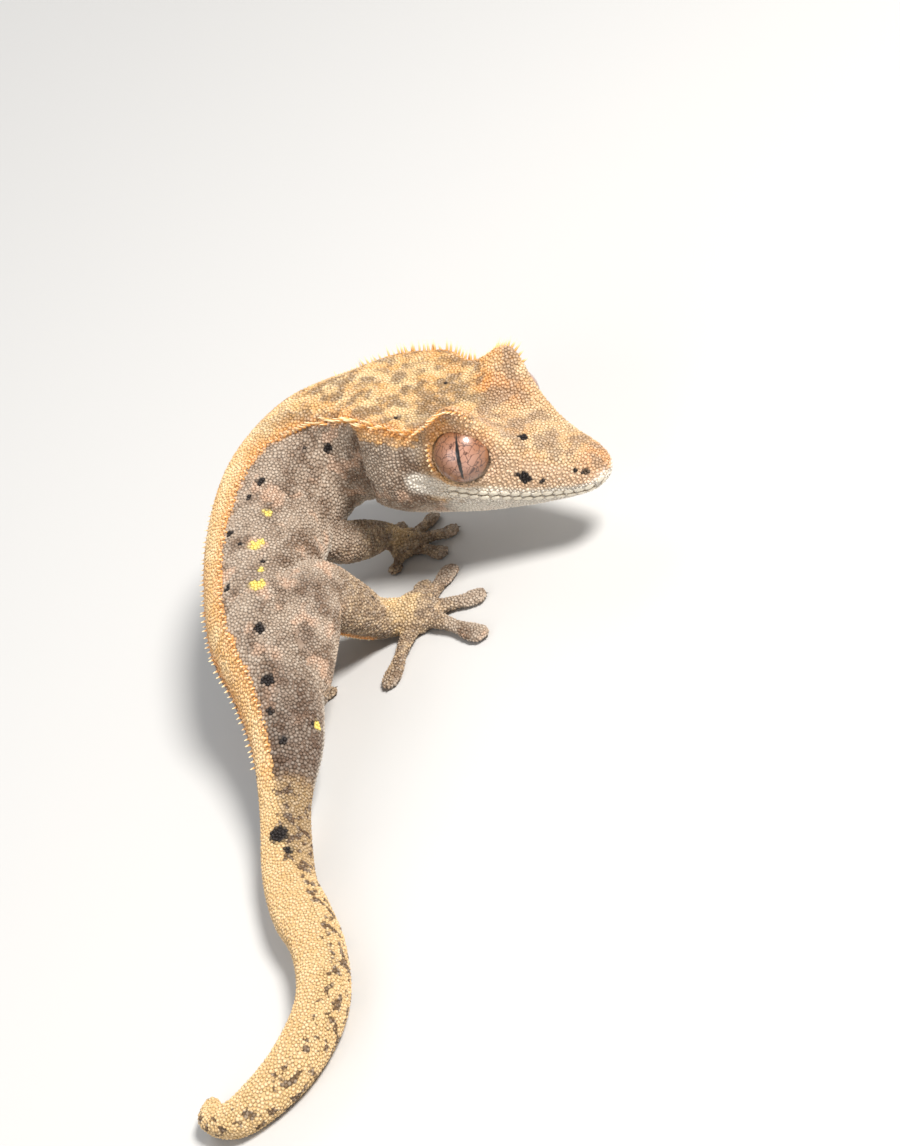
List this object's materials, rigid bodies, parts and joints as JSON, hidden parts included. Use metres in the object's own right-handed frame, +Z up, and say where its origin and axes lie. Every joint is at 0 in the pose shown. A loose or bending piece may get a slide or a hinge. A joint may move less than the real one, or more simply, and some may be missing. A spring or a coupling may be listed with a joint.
{
  "type": "crested gecko model",
  "caption": "Life-size still model of a curled crested gecko resting on its feet and tail, with crest spines, brow lashes and padded toes",
  "frame": {"origin": "on the floor at the centre of the model's box", "axes": "+Z up; +Y is from the tail towards the shoulders, the longest extent, and +X towards the side that the head turns to"},
  "size_m": [0.0684, 0.1034, 0.0226],
  "materials": {
    "skin": "fine granular scales, satin matte, cream back and grey-brown flanks with black spots",
    "eye": "wet gloss over a copper iris with fine brown veins and a slit pupil"
  },
  "bodies": {
    "root": {"head": "skin", "neck": "skin", "torso_front": "skin", "torso_rear": "skin", "tail_base": "skin", "tail_middle": "skin", "tail_tip": "skin", "right_hind_thigh": "skin", "right_hind_shin": "skin", "right_hind_foot": "skin", "left_hind_thigh": "skin", "left_hind_shin": "skin", "left_hind_foot": "skin", "right_fore_upper_arm": "skin", "right_fore_forearm": "skin", "right_fore_hand": "skin", "left_fore_upper_arm": "skin", "left_fore_forearm": "skin", "left_fore_hand": "skin", "right_eye": "eye", "left_eye": "eye"}
  },
  "joints": []
}
